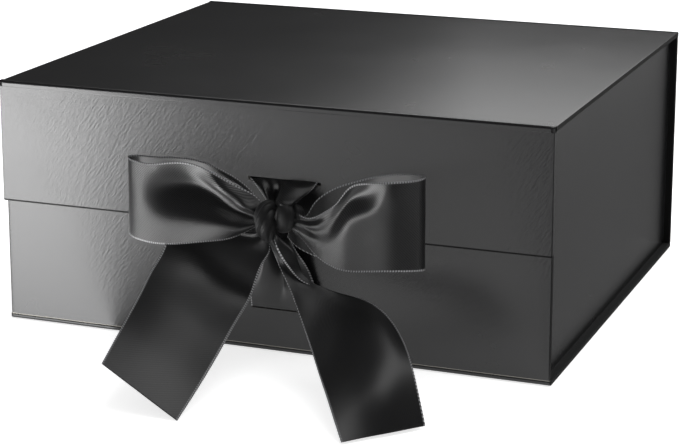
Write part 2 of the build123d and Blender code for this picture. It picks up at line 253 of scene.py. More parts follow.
# %% [markdown]
# ## The other papers, the board and the metals
# The liner is uncoated black paper, dull and a little fibrous. Grey board is pressed
# from recycled fibres, and at the open corners its cut edges are inked black, so that
# they don't show pale when the lid is up. The keepers are ground steel discs and the
# magnets are nickel plated. All of them differ only in colour, roughness and the size
# of their grain, so one function makes them from those numbers.


# %% Plain finishes
INKED_ABOVE = HEIGHT - 0.0032


def plain_finish(name, dark, pale, rough, grain_mm, height_mm, metal=0.0, inked_above=None):
    """Colour wanders from dark to pale with a noise of the grain's size, which also makes
    the bump, and is black ink above a height: just below the tops of the upright boards,
    so that these edges and the whole lid board are inked."""
    made, tree, shader = start_finish(name)
    place = add(tree, "ShaderNodeTexCoord").outputs["Object"]
    grain = add(tree, "ShaderNodeTexNoise", [("Vector", place)],
                Scale=1000.0 / grain_mm, Detail=4.0, Roughness=0.6)
    tint = add(tree, "ShaderNodeMix", [("Factor", grain.outputs[0])], data_type="RGBA")
    tint.inputs[6].default_value = linear(dark)
    tint.inputs[7].default_value = linear(pale)
    tree.links.new(tint.outputs[2], shader.inputs["Base Color"])
    if inked_above is not None:
        height = add(tree, "ShaderNodeSeparateXYZ", [(0, place)]).outputs[2]
        inked = add(tree, MATHS, [(0, height), (1, inked_above)],
                    operation="GREATER_THAN").outputs[0]
        ink = add(tree, "ShaderNodeMix", [("Factor", inked), (6, tint.outputs[2])],
                  data_type="RGBA")
        ink.inputs[7].default_value = linear("#151516")
        tree.links.new(ink.outputs[2], shader.inputs["Base Color"])
    bump = add(tree, "ShaderNodeBump", [("Height", grain.outputs[0])],
               Strength=0.4, Distance=height_mm * MM)
    tree.links.new(bump.outputs[0], shader.inputs["Normal"])
    shader.inputs["Roughness"].default_value = rough
    shader.inputs["Metallic"].default_value = metal
    return made


# name, darkest and palest colour, roughness, grain size and height in mm, metallic
FINISHES = {
    "grey_board": plain_finish("recycled_grey_board", "#7d7a74", "#96938c", 0.9, 1.2, 0.03,
                               inked_above=INKED_ABOVE),
    "liner_paper": plain_finish("uncoated_black_paper", "#171717", "#202021", 0.75, 0.6, 0.01),
    "corner_tape": plain_finish("gummed_black_tape", "#1b1b1b", "#242424", 0.6, 0.8, 0.01),
    "keeper_steel": plain_finish("ground_steel", "#8f9092", "#a8a9ab", 0.35, 0.2, 0.002, 1.0),
    "magnet_nickel": plain_finish("nickel_plate", "#b9b6ae", "#c6c3bb", 0.18, 0.5, 0.001, 1.0),
    "black_wrap": WRAP,
}
print("finishes for the panels:", len(FINISHES))

# %% [markdown]
# ## Black satin ribbon
# Double-face satin is woven from fine bright threads in a twill order, so it shows slanting lines
# and a soft, broad highlight, and its selvedges carry a row of tiny picots, whose glint is
# painted as pale grey dots. The lines follow the cloth, so the finish reads the ribbon's own map,
# in metres along and across it. Real threads are about 0.3 mm apart. They are drawn 1.2 mm apart
# here, because finer ones wouldn't show. Ribbon that hangs free is made a little rougher and less
# reflective than ribbon bent round a loop, and the knot most of all: the lower reflection is
# painted shade.


# %% Satin
RIBBON_WIDTH = 0.040
TWILL_PITCH = 0.0012
PICOT_PITCH = 0.0012
SELVEDGE = 0.0007
CLOUD = 1 / 90
THREAD_DEPTH = 0.00012


def satin(name, rough_and_shade=0.0, weave_depth=0.5):
    """Twill lines where sin(2 pi (along + across)/pitch) is high, and a dot on both selvedges
    where sin(2 pi along/pitch) is high, which is bumped and painted pale grey as the picots'
    glint.

    rough_and_shade makes the ribbon that much rougher and lowers its specular level by as much,
    which is painted shade, and weave_depth is the strength of the bump that the threads make. The
    black wanders in faint clouds of 11 mm.
    """
    made, tree, shader = start_finish(name)
    cloth = add(tree, "ShaderNodeUVMap", uv_map="cloth").outputs[0]
    along, across = add(tree, "ShaderNodeSeparateXYZ", [(0, cloth)]).outputs[:2]

    def wave(way, pitch):
        """Rises from 0 to 1 and falls back once in every pitch."""
        turned = add(tree, MATHS, [(0, way), (1, 2 * math.pi / pitch)], operation="MULTIPLY")
        sine = add(tree, MATHS, [(0, turned.outputs[0])], operation="SINE").outputs[0]
        return add(tree, MATHS, [(0, sine), (1, 0.5), (2, 0.5)],
                   operation="MULTIPLY_ADD").outputs[0]

    slant = add(tree, MATHS, [(0, along), (1, across)], operation="ADD").outputs[0]
    weave = wave(slant, TWILL_PITCH)
    middle = add(tree, MATHS, [(0, across), (1, RIBBON_WIDTH / 2)], operation="SUBTRACT")
    off_middle = add(tree, MATHS, [(0, middle.outputs[0])], operation="ABSOLUTE").outputs[0]
    at_edge = add(tree, MATHS, [(0, off_middle), (1, RIBBON_WIDTH / 2 - SELVEDGE)],
                  operation="GREATER_THAN").outputs[0]
    inside = add(tree, MATHS, [(0, 1.0), (1, at_edge)], operation="SUBTRACT").outputs[0]
    threads = add(tree, MATHS, [(0, weave), (1, inside)], operation="MULTIPLY").outputs[0]
    bright = add(tree, MATHS, [(0, at_edge), (1, wave(along, PICOT_PITCH))],
                 operation="MULTIPLY").outputs[0]
    height = add(tree, MATHS, [(0, bright), (1, 1.5), (2, threads)],
                 operation="MULTIPLY_ADD").outputs[0]
    cloudy = add(tree, "ShaderNodeTexNoise", [("Vector", cloth)], Scale=1 / CLOUD, Detail=2.0)
    tint = add(tree, "ShaderNodeMix", [("Factor", cloudy.outputs[0])], data_type="RGBA")
    tint.inputs[6].default_value = linear("#0e0e0f")
    tint.inputs[7].default_value = linear("#131314")
    # Painted glint: the picot dots are coloured pale grey on the black satin.
    edged = add(tree, "ShaderNodeMix", [("Factor", bright), (6, tint.outputs[2])],
                data_type="RGBA")
    edged.inputs[7].default_value = linear("#88888a")
    tree.links.new(edged.outputs[2], shader.inputs["Base Color"])
    bump = add(tree, "ShaderNodeBump", [("Height", height)],
               Strength=weave_depth, Distance=THREAD_DEPTH)
    tree.links.new(bump.outputs[0], shader.inputs["Normal"])
    rough = add(tree, "ShaderNodeMapRange", [("Value", height)], To_Min=0.27 + rough_and_shade,
                To_Max=0.38 + rough_and_shade)
    tree.links.new(rough.outputs[0], shader.inputs["Roughness"])
    shader.inputs["IOR"].default_value = 1.55
    shader.inputs["Specular IOR Level"].default_value = 0.44 - rough_and_shade
    shader.inputs["Sheen Weight"].default_value = 0.04
    shader.inputs["Sheen Roughness"].default_value = 0.4
    return made


SATIN = satin("double_face_satin")
# The hanging and tight copies are rougher, and their lower specular level is painted shade on the
# tails, lower strap and knot.
HANGING_SHADED_SATIN = satin("double_face_satin_hanging_shaded", rough_and_shade=0.06, weave_depth=0.18)
TIGHT_SHADED_SATIN = satin("double_face_satin_tight_shaded", rough_and_shade=0.2)
print("twill lines per 10 mm:", round(0.010 / TWILL_PITCH))

# %% [markdown]
# ## Dress the panels
# The name of each part says what it is made of, so the panels only need their material
# exchanged. Their shapes stay as they are. The glued end of the lower ribbon has no
# cloth map, and a dull black is near enough for it, out of sight behind the wall.

# %% Finishes on the panels
KINDS = (("_board", "grey_board"), ("_liner", "liner_paper"), ("tapes", "corner_tape"),
         ("keepers", "keeper_steel"), ("magnets", "magnet_nickel"))
for name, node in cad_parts.items():
    kind = next((slot for word, slot in KINDS if word in name), "black_wrap")
    node.data.materials.clear()
    node.data.materials.append(FINISHES[kind])
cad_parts["lower_anchor"].data.materials[0] = FINISHES["liner_paper"]
print("dressed", len(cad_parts), "parts")

# %% [markdown]
# ## Surfaces from nets
# A ribbon is easiest to shape as a pattern cutter would pin it: a few stations along
# its length, each with a few points across. A natural cubic spline, the curve of a thin
# bent batten, is passed through the points, first along and then across, and the
# result is sampled as a fine grid. Everything is worked out as whole arrays.


# %% Batten curves
def batten(points, count, knots=None):
    """Natural cubic spline through points[0], points[1], ... sampled at count places.

    The bending M at each point solves h0 M0 + 2 (h0 + h1) M1 + h1 M2 = 6 (slope
    change), with no bending at the ends, where h is the chord between two points.
    """
    points = np.asarray(points, float)
    n = len(points)
    if knots is None:
        steps = np.linalg.norm(np.diff(points, axis=0), axis=-1)
        steps = steps.reshape(n - 1, -1).mean(axis=1)
        knots = np.concatenate([[0.0], np.cumsum(steps)])
    h = np.diff(knots)
    flat = points.reshape(n, -1)
    slopes = np.diff(flat, axis=0) / h[:, None]
    bend = np.zeros_like(flat)
    if n > 2:
        system = (np.diag(2 * (h[:-1] + h[1:])) + np.diag(h[1:-1], 1)
                  + np.diag(h[1:-1], -1))
        bend[1:-1] = np.linalg.solve(system, 6 * np.diff(slopes, axis=0))
    t = np.linspace(knots[0], knots[-1], count)
    i = np.clip(np.searchsorted(knots, t, side="right") - 1, 0, n - 2)
    a = ((knots[i + 1] - t) / h[i])[:, None]
    b = 1 - a
    out = (a * flat[i] + b * flat[i + 1]
           + ((a ** 3 - a) * bend[i] + (b ** 3 - b) * bend[i + 1]) * (h[i, None] ** 2) / 6)
    return out.reshape(count, *points.shape[1:])


def net_surface(net, n_along, n_across):
    """A grid through the net: battens along every row, then battens across."""
    along = batten(net, n_along)
    return np.swapaxes(batten(np.swapaxes(along, 0, 1), n_across), 0, 1)


# %% Mesh and cloth helpers
def grid_object(name, grid, uv=None):
    """A mesh of four-sided faces from a grid of points, in metres, smooth shaded."""
    n, m = grid.shape[:2]
    index = np.arange(n * m).reshape(n, m)
    faces = np.stack([index[:-1, :-1], index[1:, :-1], index[1:, 1:], index[:-1, 1:]],
                     axis=-1).reshape(-1, 4)
    mesh = bpy.data.meshes.new(name)
    mesh.from_pydata(grid.reshape(-1, 3), [], faces)
    mesh.polygons.foreach_set("use_smooth", np.ones(len(faces), bool))
    if uv is not None:
        layer = mesh.uv_layers.new(name="cloth")
        layer.data.foreach_set("uv", uv.reshape(-1, 2)[faces.ravel()].ravel())
    mesh.update()
    made = bpy.data.objects.new(name, mesh)
    bpy.context.collection.objects.link(made)
    return made


# %% Ribbon helper
STEP_MM = 0.42
PICOT_REACH = 0.0002
SATIN_THICKNESS = 0.00035


def ribbon(name, net, length_mm, across=49, picots=True, finish=None):
    """A ribbon through a net in millimetres, with picots of 0.2 mm on its selvedges: each
    edge point moves out by half the reach times 1 + cos(2 pi along/pitch)."""
    along = int(length_mm / STEP_MM)
    grid = net_surface(np.array(net, float), along, across) * MM
    reach = np.concatenate([[0.0], np.cumsum(
        np.linalg.norm(np.diff(grid[:, across // 2], axis=0), axis=-1))])
    if picots:
        wave = PICOT_REACH / 2 * (1 + np.cos(2 * np.pi * reach / PICOT_PITCH))[:, None]
        for edge, inside in ((0, 1), (-1, -2)):
            out = grid[:, edge] - grid[:, inside]
            out /= np.maximum(np.linalg.norm(out, axis=-1, keepdims=True), 1e-9)
            grid[:, edge] += out * wave
    uv = np.stack(np.broadcast_arrays(
        reach[:, None], np.linspace(0, RIBBON_WIDTH, across)[None, :]), axis=-1)
    made = grid_object(name, grid, uv)
    made.data.materials.append(finish or SATIN)
    thick = made.modifiers.new("thickness", "SOLIDIFY")
    thick.thickness = SATIN_THICKNESS
    thick.offset = 0.0
    print(name, "length", round(reach[-1] * 1000), "mm,", grid.shape[0] * grid.shape[1], "points")
    return made, reach[-1]


# %% [markdown]
# ## Hinge papers
# On the real box the wrap is one sheet, and it bends in the open corner between two boards. Here
# each corner has a strip of its own, 0.2 mm thick, rounded over a 1 mm corner.

# %% Hinge papers
FOLD_RADIUS = 0.001


def hinge_paper(name, node, end):
    """The corner's profile, up the face, round a quarter circle and along the top, carried
    from one side of the box to the other; end is 1 at the back and -1 at the front."""
    turn = np.linspace(0, math.pi / 2, 13)
    leg = np.linspace(CORNER, FOLD_RADIUS, 7)[:-1]
    level = np.zeros_like(leg)
    out = np.concatenate([level, FOLD_RADIUS * (1 - np.cos(turn)), leg[::-1]])
    down = np.concatenate([leg, FOLD_RADIUS * (1 - np.sin(turn)), level])
    x = np.linspace(-HALF_WIDTH, HALF_WIDTH, 131)
    grid = np.stack(np.broadcast_arrays(
        x[:, None], (end * (HALF_DEPTH - out))[None, :], (HEIGHT - down)[None, :]), axis=-1)
    made = grid_object(name, grid if end > 0 else grid[::-1])
    made.data.materials.append(WRAP)
    wall = made.modifiers.new("thickness", "SOLIDIFY")
    wall.thickness = PAPER
    wall.offset = -1.0
    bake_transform(made)
    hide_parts(node)
    return made


back_paper = hinge_paper("back_hinge_paper", "lid_hinge_paper", 1)
front_paper = hinge_paper("front_hinge_paper", "flap_hinge_paper", -1)
print("hinge papers:", back_paper.name, front_paper.name)

# %% [markdown]
# ## The bow's loops
# A loop is one length of ribbon that leaves the knot in front, turns round at its far
# end and comes back behind. At the knot its 40 mm are gathered to about a third, which
# makes pleats that run out and fade, and a hollow where the front layer dips inwards.
# Each net starts at the knot in front. Its points go from the lower selvedge up.

# %% Left loop
LEFT_LOOP = [
    [(3.3, -129.0, 62.4), (3.7, -131.0, 63.8), (4.1, -128.0, 65.2), (4.5, -130.5, 66.7),
     (4.9, -128.0, 68.1), (5.3, -131.0, 69.5), (5.7, -129.0, 71.0)],
    [(-1.5, -131.5, 59.6), (-0.9, -133.4, 62.2), (-0.4, -130.2, 64.7), (0.2, -129.6, 67.3),
     (0.7, -133.0, 69.9), (1.3, -131.1, 72.3), (1.8, -128.7, 74.9)],
    [(-7.7, -133.5, 56.6), (-7.3, -134.7, 60.4), (-6.9, -133.3, 63.9), (-6.5, -128.5, 67.6),
     (-6.1, -131.7, 71.4), (-5.8, -133.3, 74.9), (-5.4, -130.0, 78.6)],
    [(-15.2, -134.0, 54.7), (-15.1, -134.7, 59.5), (-15.1, -133.8, 64.0), (-15.0, -127.8, 68.8),
     (-15.0, -126.7, 73.6), (-15.0, -131.9, 78.0), (-14.9, -130.2, 82.8)],
    [(-24.9, -133.6, 52.7), (-24.9, -133.8, 58.3), (-24.9, -132.8, 63.6), (-24.9, -127.6, 69.2),
     (-24.9, -122.8, 74.8), (-24.9, -125.5, 80.1), (-24.9, -128.3, 85.6)],
    [(-34.2, -133.0, 50.9), (-34.3, -132.6, 57.0), (-34.3, -131.6, 62.6), (-34.4, -127.5, 68.7),
     (-34.5, -123.1, 74.7), (-34.6, -123.9, 80.4), (-34.7, -127.7, 86.4)],
    [(-48.8, -130.4, 49.5), (-49.1, -129.8, 55.4), (-49.4, -129.2, 61.0), (-49.7, -128.2, 66.9),
     (-50.0, -127.2, 72.8), (-50.3, -126.9, 78.4), (-50.6, -126.8, 84.3)],
    [(-54.1, -128.7, 49.7), (-54.4, -128.2, 55.6), (-54.6, -127.7, 61.2), (-54.9, -127.2, 67.1),
     (-55.1, -126.6, 73.0), (-55.3, -126.1, 78.5), (-55.6, -125.6, 84.4)],
    [(-58.4, -126.4, 49.9), (-58.5, -126.0, 55.8), (-58.7, -125.6, 61.4), (-58.9, -125.2, 67.2),
     (-59.1, -124.8, 73.1), (-59.3, -124.5, 78.7), (-59.4, -124.1, 84.6)],
    [(-61.3, -123.6, 50.1), (-61.4, -123.4, 56.0), (-61.5, -123.2, 61.6), (-61.6, -122.9, 67.5),
     (-61.7, -122.7, 73.4), (-61.8, -122.5, 78.9), (-61.9, -122.2, 84.8)],
    [(-62.6, -120.5, 50.3), (-62.6, -120.5, 56.2), (-62.7, -120.4, 61.8), (-62.7, -120.4, 67.7),
     (-62.7, -120.3, 73.6), (-62.7, -120.3, 79.2), (-62.8, -120.2, 85.1)],
    [(-61.3, -118.4, 50.7), (-61.3, -118.4, 56.5), (-61.3, -118.4, 62.1), (-61.3, -118.4, 67.9),
     (-61.3, -118.4, 73.8), (-61.3, -118.4, 79.3), (-61.3, -118.4, 85.2)],
    [(-55.7, -117.6, 51.0), (-55.7, -117.6, 56.8), (-55.7, -117.6, 62.3), (-55.7, -117.6, 68.1),
     (-55.7, -117.6, 73.9), (-55.7, -117.6, 79.4), (-55.7, -117.6, 85.2)],
    [(-40.0, -117.4, 52.0), (-40.0, -117.4, 57.7), (-40.0, -117.4, 63.2), (-40.0, -117.4, 68.9),
     (-40.0, -117.4, 74.6), (-40.0, -117.4, 80.1), (-40.0, -117.4, 85.8)],
    [(-30.0, -118.2, 53.5), (-30.0, -118.2, 58.9), (-30.0, -118.2, 64.1), (-30.0, -118.2, 69.5),
     (-30.0, -118.2, 74.9), (-30.0, -118.2, 80.1), (-30.0, -118.2, 85.5)],
    [(-18.0, -119.3, 55.5), (-18.0, -120.3, 60.1), (-18.0, -118.3, 64.4), (-18.0, -120.3, 69.0),
     (-18.0, -118.3, 73.6), (-18.0, -120.3, 77.9), (-18.0, -119.3, 82.5)],
    [(-6.0, -121.0, 58.5), (-6.0, -122.0, 61.6), (-6.0, -120.0, 64.6), (-6.0, -122.0, 67.8),
     (-6.0, -120.0, 70.9), (-6.0, -122.0, 73.9), (-6.0, -121.0, 77.0)],
    [(3.0, -123.5, 61.0), (3.0, -124.5, 62.5), (3.0, -122.5, 64.0), (3.0, -124.5, 65.5),
     (3.0, -122.5, 67.0), (3.0, -124.5, 68.5), (3.0, -123.5, 70.0)],
]
left_loop, left_length = ribbon("left_bow_loop", LEFT_LOOP, 170)
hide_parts("left_loop")

# %% Right loop
RIGHT_LOOP = [
    [(15.6, -128.5, 63.5), (16.1, -129.5, 64.7), (16.7, -128.7, 65.8), (17.2, -129.8, 67.0),
     (17.8, -128.1, 68.2), (18.3, -129.3, 69.3), (18.9, -128.5, 70.5)],
    [(22.8, -130.5, 60.0), (23.5, -132.2, 61.4), (24.2, -132.5, 62.8), (24.9, -131.4, 64.2),
     (25.6, -131.9, 65.6), (26.2, -130.7, 66.9), (26.9, -131.3, 68.3)],
    [(31.4, -133.7, 53.4), (32.1, -134.9, 56.7), (32.8, -135.2, 59.7), (33.5, -134.4, 63.0),
     (34.1, -135.1, 66.2), (34.8, -134.2, 69.2), (35.5, -133.7, 72.5)],
    [(39.9, -137.6, 50.4), (40.3, -138.0, 55.1), (40.7, -138.3, 59.5), (41.1, -138.0, 64.2),
     (41.5, -136.3, 68.9), (41.8, -135.3, 73.3), (42.3, -136.3, 77.9)],
    [(48.1, -140.7, 49.8), (48.2, -140.9, 55.9), (48.3, -141.1, 61.7), (48.5, -141.2, 67.8),
     (48.6, -139.7, 73.9), (48.7, -136.2, 79.6), (48.8, -138.2, 85.6)],
    [(57.7, -141.9, 50.9), (57.7, -142.0, 57.3), (57.7, -142.1, 63.4), (57.7, -142.2, 69.8),
     (57.8, -142.3, 76.2), (57.8, -139.8, 82.2), (57.8, -140.0, 88.6)],
    [(68.2, -142.4, 52.3), (68.2, -142.4, 58.8), (68.3, -142.4, 65.0), (68.3, -142.4, 71.5),
     (68.4, -142.5, 77.9), (68.4, -143.0, 84.0), (68.5, -142.2, 90.5)],
    [(74.8, -137.5, 51.7), (74.8, -137.5, 58.4), (74.9, -137.5, 64.6), (75.0, -137.5, 71.2),
     (75.1, -137.5, 77.8), (75.1, -137.5, 84.0), (75.2, -137.5, 90.6)],
    [(78.6, -132.3, 51.0), (78.6, -132.3, 57.8), (78.6, -132.3, 64.2), (78.6, -132.3, 70.9),
     (78.5, -132.3, 77.7), (78.5, -132.3, 84.0), (78.5, -132.3, 90.7)],
    [(78.9, -129.0, 50.7), (78.8, -129.0, 57.6), (78.8, -129.0, 64.0), (78.8, -129.0, 70.9),
     (78.8, -129.0, 77.7), (78.7, -129.0, 84.0), (78.7, -129.0, 90.8)],
    [(75.7, -126.0, 51.3), (75.8, -126.0, 58.0), (75.8, -126.0, 64.3), (75.8, -126.0, 71.0),
     (75.8, -126.0, 77.6), (75.9, -126.0, 83.9), (75.9, -126.0, 90.5)],
    [(61.8, -121.5, 49.0), (62.0, -121.5, 55.8), (62.1, -121.5, 62.1), (62.3, -121.5, 68.9),
     (62.4, -121.5, 75.6), (62.5, -121.5, 81.9), (62.7, -121.5, 88.6)],
    [(51.1, -120.0, 48.0), (51.1, -120.0, 54.5), (51.2, -120.0, 60.6), (51.3, -120.0, 67.0),
     (51.3, -120.0, 73.4), (51.4, -120.0, 79.4), (51.5, -120.0, 85.8)],
    [(45.5, -120.5, 48.0), (45.5, -120.5, 54.1), (45.5, -120.5, 59.9), (45.5, -120.5, 66.0),
     (45.5, -120.5, 72.1), (45.5, -120.5, 77.8), (45.5, -120.5, 83.8)],
    [(39.0, -121.5, 48.3), (38.9, -121.5, 53.9), (38.8, -121.5, 59.2), (38.7, -121.5, 64.9),
     (38.6, -121.5, 70.5), (38.5, -121.5, 75.7), (38.4, -121.5, 81.3)],
    [(32.1, -123.0, 48.6), (32.1, -123.0, 53.5), (32.0, -123.0, 58.2), (31.9, -123.0, 63.1),
     (31.9, -123.0, 68.0), (31.8, -123.0, 72.6), (31.7, -123.0, 77.5)],
    [(26.6, -125.5, 50.5), (26.6, -125.5, 54.3), (26.7, -125.5, 57.8), (26.8, -125.5, 61.6),
     (26.9, -125.5, 65.4), (27.0, -125.5, 69.0), (27.1, -125.5, 72.7)],
    [(20.9, -127.5, 53.8), (21.6, -127.5, 56.3), (22.2, -127.5, 58.6), (22.9, -127.5, 61.1),
     (23.6, -127.5, 63.6), (24.2, -127.5, 65.9), (24.9, -127.5, 68.4)],
    [(15.8, -127.0, 58.1), (16.3, -127.0, 59.7), (16.8, -127.0, 61.3), (17.3, -127.0, 62.9),
     (17.8, -127.0, 64.5), (18.3, -127.0, 66.0), (18.8, -127.0, 67.6)],
]
right_loop, right_length = ribbon("right_bow_loop", RIGHT_LOOP, 180)
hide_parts("right_loop")

# %% [markdown]
# ## The tails
# Each tail leaves the knot gathered, spreads to its full width and hangs forward to the
# table, where a corner or an end rests. The right tail is turned over near the knot, so
# its net folds back on itself there. The points go from the left selvedge to the right.

# %% Tails
LEFT_TAIL = [
    [(3.5, -127.5, 58.6), (5.0, -129.2, 59.0), (5.3, -128.0, 58.5), (6.9, -129.8, 58.9),
     (7.2, -128.5, 58.4)],
    [(-9.8, -126.0, 57.4), (-5.2, -127.0, 56.1), (-0.1, -129.0, 55.0), (4.7, -130.5, 53.8),
     (8.7, -130.0, 52.0)],
    [(-24.0, -125.0, 58.6), (-16.3, -126.4, 55.6), (-8.1, -129.2, 53.1), (-0.1, -131.6, 50.5),
     (7.1, -132.5, 47.4)],
    [(-36.3, -127.0, 57.6), (-26.1, -128.4, 53.3), (-15.6, -130.4, 49.2), (-4.7, -133.6, 45.5),
     (5.2, -135.0, 41.3)],
    [(-39.6, -133.5, 49.3), (-28.8, -134.8, 45.1), (-18.3, -135.4, 40.8), (-7.2, -137.5, 36.9),
     (3.3, -138.5, 32.8)],
    [(-40.8, -142.0, 42.5), (-29.4, -144.5, 38.8), (-18.7, -145.9, 34.8), (-8.1, -147.2, 30.8),
     (2.6, -149.0, 27.0)],
    [(-39.8, -156.0, 36.1), (-28.2, -160.5, 32.5), (-17.3, -163.5, 28.4), (-6.9, -166.0, 24.2),
     (3.7, -169.0, 20.2)],
    [(-38.1, -178.0, 27.0), (-27.4, -181.5, 23.1), (-17.3, -184.0, 18.8), (-7.5, -185.9, 14.3),
     (2.3, -188.0, 10.0)],
    [(-34.1, -205.0, 19.6), (-25.1, -206.0, 14.9), (-16.6, -206.3, 10.0), (-8.4, -206.1, 4.9),
     (-0.1, -206.0, -0.1)],
]
RIGHT_TAIL = [
    [(7.4, -129.0, 60.0), (9.8, -133.0, 61.6), (8.6, -128.5, 60.3), (11.4, -133.0, 61.5),
     (10.6, -129.5, 59.9)],
    [(9.6, -130.0, 53.8), (12.4, -133.5, 56.1), (12.8, -130.5, 56.4), (16.0, -133.5, 57.8),
     (13.9, -135.0, 55.8)],
    [(12.1, -131.5, 50.0), (15.5, -134.0, 52.3), (17.0, -131.5, 52.7), (21.0, -134.5, 54.1),
     (17.5, -136.5, 50.5)],
    [(16.6, -136.0, 45.6), (18.6, -135.0, 46.9), (21.2, -134.5, 48.4), (24.0, -135.0, 48.6),
     (21.5, -137.5, 46.6)],
    [(22.1, -141.0, 40.5), (23.6, -138.5, 41.8), (25.2, -136.5, 43.4), (27.3, -136.0, 43.9),
     (26.5, -138.0, 42.6)],
    [(27.5, -147.0, 35.7), (29.5, -143.0, 38.0), (31.3, -139.0, 39.7), (33.2, -137.0, 41.1),
     (35.0, -137.0, 39.8)],
    [(35.9, -158.0, 29.0), (38.2, -150.5, 32.5), (41.2, -143.0, 35.8), (44.1, -138.0, 38.2),
     (46.5, -137.0, 38.2)],
    [(43.3, -168.0, 23.3), (46.6, -159.5, 28.0), (50.1, -150.0, 32.4), (53.9, -142.5, 36.1),
     (56.9, -139.5, 37.4)],
    [(51.0, -179.0, 17.6), (54.9, -169.5, 23.1), (60.0, -160.0, 29.1), (64.9, -150.5, 33.5),
     (68.2, -145.5, 34.1)],
    [(58.6, -190.0, 12.8), (63.9, -180.0, 18.6), (69.6, -171.0, 24.3), (75.4, -161.0, 28.5),
     (78.4, -155.0, 28.0)],
    [(65.6, -199.5, 7.0), (72.4, -191.0, 11.5), (79.5, -183.0, 16.3), (84.9, -173.5, 19.1),
     (87.6, -168.0, 20.1)],
    [(71.5, -206.5, 0.9), (78.8, -198.0, 1.0), (86.4, -190.0, 1.1), (92.7, -182.5, 1.1),
     (96.4, -178.0, 1.0)],
]
left_tail, left_tail_length = ribbon("left_bow_tail", LEFT_TAIL, 115,
                                     finish=HANGING_SHADED_SATIN)
right_tail, right_tail_length = ribbon("right_bow_tail", RIGHT_TAIL, 120,
                                       finish=HANGING_SHADED_SATIN)
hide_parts("left_tail")
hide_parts("right_tail")

# %% [markdown]
# ## The straps
# The upper ribbon comes out of a slot in the flap and is gathered down into the knot,
# with one sharp pleat and a rounded pouch beside it. The lower one comes out of a slot
# in the front wall and runs up behind the tails. It rides on a body of its own, because
# it falls forward when the bow is untied.

# %% Straps
UPPER_FAN = [
    [(-6.7, -115.0, 79.0), (-1.4, -115.0, 79.2), (3.9, -115.0, 79.5), (7.6, -115.0, 79.5),
     (9.3, -115.0, 79.6), (14.5, -115.0, 79.6), (19.7, -115.0, 79.8), (25.0, -115.0, 79.8)],
    [(-3.3, -116.6, 76.5), (1.1, -118.0, 76.7), (4.5, -115.9, 76.0), (8.8, -117.6, 76.1),
     (10.6, -120.2, 77.8), (16.6, -121.6, 78.3), (21.0, -120.8, 78.1), (24.2, -119.5, 77.6)],
    [(0.5, -118.6, 73.4), (3.9, -120.6, 73.5), (4.9, -116.6, 72.1), (8.4, -119.4, 72.5),
     (11.1, -124.6, 75.4), (16.9, -126.4, 75.5), (20.4, -125.2, 75.5), (21.5, -121.5, 75.2)],
    [(3.3, -120.4, 70.8), (5.9, -123.0, 70.9), (5.3, -118.2, 69.1), (8.4, -121.8, 69.5),
     (11.6, -128.6, 73.3), (16.8, -131.4, 73.4), (19.1, -129.0, 73.3), (18.5, -122.5, 72.5)],
    [(5.1, -121.4, 67.9), (7.2, -124.0, 68.2), (6.2, -119.4, 66.7), (8.1, -122.4, 67.9),
     (12.0, -128.6, 71.6), (16.0, -131.0, 71.6), (17.2, -127.8, 71.1), (15.9, -121.4, 70.4)],
    [(7.0, -123.5, 67.4), (8.3, -125.0, 67.6), (7.8, -122.2, 66.7), (9.5, -124.6, 67.4),
     (11.7, -127.0, 70.5), (14.6, -128.4, 70.2), (15.3, -125.6, 69.8), (15.2, -122.0, 69.8)],
]
LOWER_STRAP = [
    [(-7.4, -112.9, 20.2), (-1.0, -112.9, 20.2), (5.5, -112.9, 20.2), (12.5, -112.9, 20.2),
     (19.5, -112.9, 20.2), (26.4, -112.9, 20.2)],
    [(-7.3, -114.0, 26.0), (-1.0, -115.2, 26.0), (6.6, -113.5, 26.0), (12.6, -115.0, 26.0),
     (19.0, -114.6, 26.0), (25.8, -114.0, 26.0)],
    [(-5.4, -115.0, 33.0), (0.8, -119.2, 33.0), (8.2, -114.2, 33.0), (12.6, -118.0, 33.0),
     (17.9, -117.6, 33.0), (23.9, -115.4, 33.0)],
    [(-1.0, -116.0, 42.0), (3.4, -123.0, 42.0), (8.6, -115.6, 42.0), (11.8, -121.6, 42.0),
     (16.0, -119.6, 42.0), (20.6, -116.8, 42.0)],
    [(2.6, -118.4, 50.0), (5.2, -125.0, 50.0), (8.8, -117.6, 50.0), (11.4, -123.8, 50.0),
     (14.4, -119.6, 50.0), (17.6, -121.6, 50.0)],
    [(4.8, -120.4, 55.5), (6.8, -125.8, 55.5), (9.4, -119.6, 55.5), (11.4, -125.0, 55.5),
     (13.6, -120.6, 55.5), (15.6, -123.6, 55.5)],
]
upper_fan, fan_length = ribbon("upper_strap_fan", UPPER_FAN, 24, across=97, picots=False)
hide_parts("upper_strap")
lower_ribbon, lower_length = ribbon("lower_strap_ribbon", LOWER_STRAP, 40,
                                    finish=HANGING_SHADED_SATIN)
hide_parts("lower_strap")

# %% [markdown]
# ## The knot
# Where the ribbons cross they are pulled tight and look like short ropes of folded
# satin. Each rope is a tube along a curved path whose radius rises and falls around it,
# a few pleats that twist slowly, and it is drawn in to nothing at its hidden ends.


# %% Knot
ROPE_RINGS, ROPE_SIDES = 73, 120
ROPE_CLOTH, SELVEDGE_IN, ROPE_ROUND = 0.022, 0.004, 0.032


